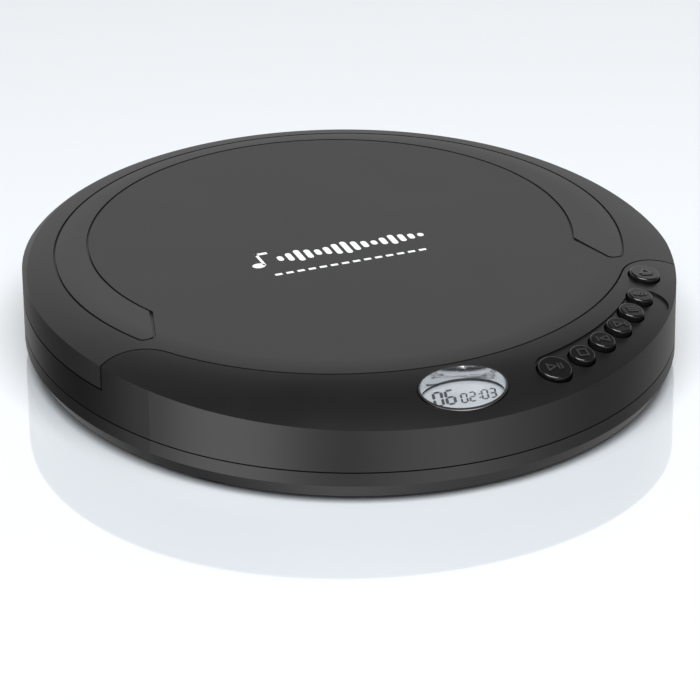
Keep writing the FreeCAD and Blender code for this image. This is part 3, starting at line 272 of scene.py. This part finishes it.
FINISHES = {
    "bottom_case": BASE, "battery_door": BASE, "upper_case": CASE, "well_deck": CASE,
    "lid_shell": LID, "lid_trim_band": BAND,
    "lid_hook": INNER, "hinge_pins": STEEL, "feet": RUBBER, "case_screws": ZINC, "lcd_bezel": chrome_rim(),
    "lcd_window": display_glass(), "lcd_module": display_ground(), "tact_switches": INNER,
    "key_board": board_mask(), "latch_slider": INNER, "latch_spring": STEEL, "headphone_jack": SOCKET,
    "power_jack": SOCKET, "hold_slider": KEY, "hold_switch": INNER, "volume_wheel": KEY, "volume_pot": INNER,
    "main_board": board_mask(), "chips": EPOXY, "capacitors": DRAWN, "mech_plate": WELL, "dampers": RUBBER,
    "damper_screws": STEEL, "guide_rods": STEEL, "spindle_motor": BRUSHED, "spindle_shaft": STEEL,
    "turntable": WELL, "clamp_balls": STEEL, "platter_mat": RUBBER, "idler_gear": GEAR, "motor_pinion": GEAR,
    "motor_shaft": STEEL, "sled_motor": BRUSHED, "sled_rack": GEAR, "pickup_sled": CAST,
    "lens_holder": INNER, "lens": lens_coat(), "lid_switch": INNER, "battery_contacts": NICKEL,
    "battery_springs": NICKEL, "play_key": KEY, "stop_key": KEY, "skip_back_key": KEY,
    "skip_forward_key": KEY, "mode_key": KEY, "program_key": KEY, "open_key": KEY,
}


def dress_nodes():
    for name, node in NODES.items():
        if not node.material_slots:
            node.data.materials.append(None)
        for slot in node.material_slots:
            slot.material = FINISHES[name].material


# ---- flat and raised strokes ----


def outline(points, width):
    """Quads along a line through points, width wide, with mitred corners; closed if first equals last."""
    closed = points[0] == points[-1]
    track = [Vector(p) for p in (points[:-1] if closed else points)]
    count = len(track)
    left, right = [], []
    for index, at in enumerate(track):
        before = track[index - 1] if closed or index > 0 else None
        after = track[(index + 1) % count] if closed or index < count - 1 else None
        came = (at - before).normalized() if before is not None else (after - at).normalized()
        goes = (after - at).normalized() if after is not None else came
        side = Vector((-came.y - goes.y, came.x + goes.x)).normalized()
        reach = width / 2 / max(side.dot(Vector((-came.y, came.x))), 0.4)
        left.append(at + side * reach)
        right.append(at - side * reach)
    corners = left + right
    last = count if closed else count - 1
    faces = [(i, count + i, count + (i + 1) % count, (i + 1) % count) for i in range(last)]
    return corners, faces


def slab(name, shapes, place, height, finish, body):
    """A piece of flat shapes, each (corners, faces) in millimetres, raised to height and set at place."""
    verts, faces = [], []
    for corners, polygons in shapes:
        base = len(verts)
        count = len(corners)
        verts += [Vector((c[0], c[1], 0.0)) for c in corners]
        verts += [Vector((c[0], c[1], height)) for c in corners]
        edges = {}
        for polygon in polygons:
            faces.append(tuple(base + i for i in reversed(polygon)))
            faces.append(tuple(base + count + i for i in polygon))
            for a, b in zip(polygon, polygon[1:] + polygon[:1]):
                edges[(a, b)] = edges.get((a, b), 0) + 1
        for a, b in edges:
            if (b, a) not in edges:
                faces.append((base + a, base + b, base + count + b, base + count + a))
    mesh = bpy.data.meshes.new(name)
    mesh.from_pydata([place @ (v * MM) for v in verts], [], faces)
    mesh.update()
    piece = bpy.data.objects.new(name, mesh)
    bpy.context.scene.collection.objects.link(piece)
    mesh.materials.append(finish.material)
    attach(piece, body)
    return piece


def ring(radius, steps=28, start=0.0, sweep=360.0):
    angles = [math.radians(start + sweep * i / steps) for i in range(steps + 1)]
    points = [(radius * math.cos(a), radius * math.sin(a)) for a in angles]
    if sweep == 360.0:
        points[-1] = points[0]
    return points


def bar(x0, y0, x1, y1):
    return [(x0, y0), (x1, y0), (x1, y1), (x0, y1)], [(0, 1, 2, 3)]


def rounded_bar(x0, y0, x1, y1, steps=6):
    """An upright bar with half-round ends."""
    radius = (x1 - x0) / 2
    middle = (x0 + x1) / 2
    angles = [math.pi * i / steps for i in range(steps + 1)]
    top = [(middle + radius * math.cos(a), y1 - radius + radius * math.sin(a)) for a in angles]
    low = [(middle - radius * math.cos(a), y0 + radius - radius * math.sin(a)) for a in angles]
    corners = top + low
    return corners, [tuple(range(len(corners)))]


# ---- raised marks on the keys ----


def key_face(name, lean=0.0):
    """A matrix at the middle of a key's top, with its own Y away from the front, in metres."""
    low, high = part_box(name)
    middle = (low + high) / 2
    out = Vector((middle.x, middle.y - LID_CENTRE_Y * MM, 0))
    joint = next(j for j in frame["joints"] if j["child"] == name)
    normal = -Vector(joint["axis"]).normalized()
    slope = math.asin(min(normal.xy.length, 1.0))
    reach = (FLAT_RADIUS + SHOULDER_RADIUS * math.sin(slope)) * MM
    out = out.normalized() * reach
    height = (TOP_Z - SHOULDER_RADIUS * (1 - math.cos(slope))) * MM
    at = Vector((out.x, out.y + LID_CENTRE_Y * MM, height)) + normal * (KEY_PROUD * MM)
    x_axis = Vector((math.cos(lean), math.sin(lean), 0))
    x_axis = (x_axis - normal * x_axis.dot(normal)).normalized()
    y_axis = normal.cross(x_axis)
    turn = Matrix((x_axis, y_axis, normal)).transposed().to_4x4()
    return Matrix.Translation(at) @ turn


def triangle(x0, x1, half):
    return [(x0, -half), (x1, 0.0), (x0, half), (x0, -half)]


def key_marks():
    line = ICON_LINE
    play = [outline(triangle(-1.7, 0.1, 0.95), line), outline([(0.75, -0.95), (0.75, 0.95)], line)]
    play.append(outline([(1.5, -0.95), (1.5, 0.95)], line))
    square = [(-1.0, -1.0), (1.0, -1.0), (1.0, 1.0), (-1.0, 1.0), (-1.0, -1.0)]
    back = [outline([(-1.35, -0.85), (-1.35, 0.85)], line)]
    back.append(outline(triangle(1.2, -0.7, 0.85), line))
    ahead = [outline([(1.35, -0.85), (1.35, 0.85)], line)]
    ahead.append(outline(triangle(-1.2, 0.7, 0.85), line))
    rows = [outline([(-1.2, y), (1.2, y)], line) for y in (-0.7, 0.0, 0.7)]
    dots = [outline(ring(0.55, 12), line), outline([(0.9, -0.6), (1.5, 0.0), (0.9, 0.6)], line)]
    dots.append(outline([(-0.9, -0.6), (-1.5, 0.0), (-0.9, 0.6)], line))
    eject = [outline([(-1.3, -0.5), (1.3, -0.5), (0.0, 1.2), (-1.3, -0.5)], line)]
    eject.append(outline([(-1.3, -1.15), (1.3, -1.15)], line))
    marks = {
        "play_key": play, "stop_key": [outline(square, line)], "skip_back_key": back,
        "skip_forward_key": ahead, "mode_key": rows, "program_key": dots, "open_key": eject,
    }
    for name, shapes in marks.items():
        slab(name + "_mark", shapes, key_face(name), ICON_HEIGHT, MARK, name)


# ---- display digits ----

SEGMENTS = {
    "0": "abcdef", "2": "abged", "3": "abgcd", "6": "afgedc",
}


def digit(character, x, y, width, height, thick, slant):
    """Seven slanted bars with pointed ends, at x, y of the digit's lower left corner."""
    half = height / 2
    gap = thick * 0.18
    runs = {
        "a": ((0, height), (width, height)), "g": ((0, half), (width, half)), "d": ((0, 0), (width, 0)),
        "f": ((0, half), (0, height)), "b": ((width, half), (width, height)),
        "e": ((0, 0), (0, half)), "c": ((width, 0), (width, half)),
    }
    shapes = []
    for letter in SEGMENTS[character]:
        start, end = (Vector(p) for p in runs[letter])
        along = (end - start).normalized()
        side = Vector((-along.y, along.x)) * thick / 2
        start = start + along * gap
        end = end - along * gap
        tip = along * thick / 2
        corners = [start, start + tip - side, end - tip - side, end, end - tip + side, start + tip + side]
        shapes.append(([(x + c.x + slant * c.y, y + c.y) for c in corners], [(0, 1, 2, 3, 4, 5)]))
    return shapes


def display_digits():
    low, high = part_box("lcd_module")
    window_low, window_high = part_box("lcd_window")
    middle = (low + high) / 2
    tilt = Matrix.Rotation(LCD_TILT, 4, "X")
    surface = (window_low.z + window_high.z) / 2 - 0.5 * MM * math.cos(LCD_TILT) + 0.03 * MM
    place = Matrix.Translation((middle.x, (window_low.y + window_high.y) / 2, surface)) @ tilt
    shapes = []
    for index, character in enumerate("06"):
        shapes += digit(character, -6.7 + 2.75 * index, -1.3, 1.8, 5.2, 0.66, 0.26)
    for x, character in zip((-0.8, 1.1, 3.9, 5.7), "0203"):
        shapes += digit(character, x, -1.7, 1.25, 3.4, 0.44, 0.26)
    shapes += [bar(3.35 + lean, y, 3.8 + lean, y + 0.45) for lean, y in ((0, -1.1), (0.35, 0.3))]
    slab("display_digits", shapes, place, 0.02, digit_black(), "root")


# ---- printed mark on the lid: a row of sound-level bars ----


def lid_print():
    heights = (2.2, 3.6, 5.2, 4.0, 2.6, 3.4, 4.8, 5.6, 4.2, 3.0, 2.0, 3.2, 4.4, 3.4, 2.4, 1.6)
    pitch = 2.0
    shapes = []
    for index, height in enumerate(heights):
        x = -13.0 + pitch * index
        shapes.append(rounded_bar(x - 0.62, 3.5 - height / 2, x + 0.62, 3.5 + height / 2))
    note = [rounded_bar(-17.2, 1.6, -16.6, 7.4), bar(-17.2, 6.5, -14.6, 7.4)]
    head = ring(1.35, 20)[:-1]
    note.append(([(x - 18.1, y * 0.8 + 1.9) for x, y in head], [tuple(range(len(head)))]))
    dashes = [bar(-16.6 + 2.35 * n, -3.7, -15.1 + 2.35 * n, -2.9) for n in range(14)]
    low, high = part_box("lid_shell")
    place = Matrix.Translation((0, 0, high.z - 0.005 * MM)) @ Matrix.Scale(PRINT_SCALE, 4)
    slab("lid_print", shapes + note + dashes, place, 0.02, print_white(), "lid")


# ---- studio ----

# bearing from +X in degrees, and brightness, of the panels the upright walls reflect
PANELS = (
    (0, 0.3), (90, 0.6), (112, 0.1), (142, 0.0), (155, 0.25), (172, 0.9), (187, 2.2), (213, 2.5),
    (228, 1.2), (243, 0.5), (258, 1.2), (285, 1.7), (305, 0.9), (340, 0.25),
)


def floor():
    mesh = bpy.data.meshes.new("floor")
    reach = 3.0
    corners = [(-reach, -reach, 0), (reach, -reach, 0), (reach, reach, 0), (-reach, reach, 0)]
    mesh.from_pydata(corners, [], [(0, 1, 2, 3)])
    piece = bpy.data.objects.new("floor", mesh)
    bpy.context.scene.collection.objects.link(piece)
    finish = Finish("floor_pale")
    finish.set(Base_Color=(0.72, 0.76, 0.80), Roughness=0.05)
    finish.shader.inputs["IOR"].default_value = 3.2
    mesh.materials.append(finish.material)
    piece.visible_glossy = False


def softbox(name, azimuth, elevation, distance, width, height, power):
    """An area light that faces the object from a bearing measured from +X towards +Y."""
    light = bpy.data.lights.new(name, "AREA")
    light.shape = "RECTANGLE"
    light.size = width
    light.size_y = height
    light.energy = power
    lamp = bpy.data.objects.new(name, light)
    flat = distance * math.cos(math.radians(elevation))
    spot = Vector((flat * math.cos(math.radians(azimuth)), flat * math.sin(math.radians(azimuth)),
                   distance * math.sin(math.radians(elevation))))
    lamp.location = spot
    lamp.rotation_euler = spot.to_track_quat("Z", "Y").to_euler()
    lamp.visible_camera = False
    bpy.context.scene.collection.objects.link(lamp)


def sky():
    """A light tent: bright low at the back, dark overhead and in front, panels seen by the walls."""
    world = bpy.data.worlds.new("light_tent")
    world.use_nodes = True
    tree = world.node_tree
    tree.nodes.clear()
    where = tree.nodes.new("ShaderNodeTexCoord")
    split = tree.nodes.new("ShaderNodeSeparateXYZ")
    tree.links.new(where.outputs["Generated"], split.inputs[0])
    x, y, z = split.outputs

    def math_node(operation, first, second=0.0):
        node = tree.nodes.new("ShaderNodeMath")
        node.operation = operation
        for socket, value in zip(node.inputs, (first, second)):
            if isinstance(value, float):
                socket.default_value = value
            else:
                tree.links.new(value, socket)
        return node.outputs[0]

    def profile(value, stops):
        ramp = tree.nodes.new("ShaderNodeValToRGB")
        while len(ramp.color_ramp.elements) < len(stops):
            ramp.color_ramp.elements.new(0.5)
        for element, (position, level) in zip(ramp.color_ramp.elements, stops):
            element.position = position
            element.color = (level, level, level, 1.0)
        tree.links.new(value, ramp.inputs[0])
        return ramp.outputs[0]

    turn = math_node("DIVIDE", math_node("ARCTAN2", y, x), 2 * math.pi)
    bearing = math_node("FRACT", math_node("ADD", turn, 1.0))
    low_back = profile(z, ((0.0, 0.9), (0.46, 0.85), (0.62, 0.08), (1.0, 0.04)))
    low_front = profile(z, ((0.0, 0.15), (0.5, 0.12), (1.0, 0.06)))
    backness = profile(y, ((0.0, 0.0), (0.35, 1.0)))
    behind = math_node("MULTIPLY", low_back, backness)
    before = math_node("MULTIPLY", low_front, math_node("SUBTRACT", 1.0, backness))
    above = math_node("MULTIPLY", math_node("ADD", behind, before), math_node("GREATER_THAN", z, 0.0))
    panels = profile(bearing, [(degrees / 360, level) for degrees, level in PANELS])
    below = math_node("MULTIPLY", panels, math_node("LESS_THAN", z, 0.0))
    back = tree.nodes.new("ShaderNodeBackground")
    out = tree.nodes.new("ShaderNodeOutputWorld")
    tree.links.new(math_node("ADD", above, below), back.inputs[0])
    tree.links.new(back.outputs[0], out.inputs[0])
    bpy.context.scene.world = world


def camera():
    back = Vector((-0.3215, -0.8378, 0.4412)).normalized()
    right = Vector((-back.y, back.x, 0)).normalized()
    up = back.cross(right)
    roll = math.radians(-0.58)
    x_axis = right * math.cos(roll) + up * math.sin(roll)
    y_axis = back.cross(x_axis)
    data = bpy.data.cameras.new("camera")
    data.sensor_width = 36.0
    data.lens = 222.9
    data.shift_x = -0.0057
    data.shift_y = 0.0014
    data.clip_end = 20.0
    lens = bpy.data.objects.new("camera", data)
    turn = Matrix((x_axis, y_axis, back)).transposed().to_4x4()
    lens.matrix_world = Matrix.Translation((-0.3128, -0.8184, 0.4292)) @ turn
    bpy.context.scene.collection.objects.link(lens)
    bpy.context.scene.camera = lens


def studio():
    floor()
    sky()
    camera()
    softbox("overhead_front", -105, 66, 1.1, 0.9, 0.5, 17)
    softbox("front_strip", -112, 40, 1.0, 0.7, 0.08, 2.0)
    bpy.context.scene.view_settings.view_transform = "Standard"


def squeeze_spring():
    """Gives the latch spring a mesh of its own."""
    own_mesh(NODES["latch_spring"])


dress_nodes()
squeeze_spring()
key_marks()
display_digits()
lid_print()
studio()
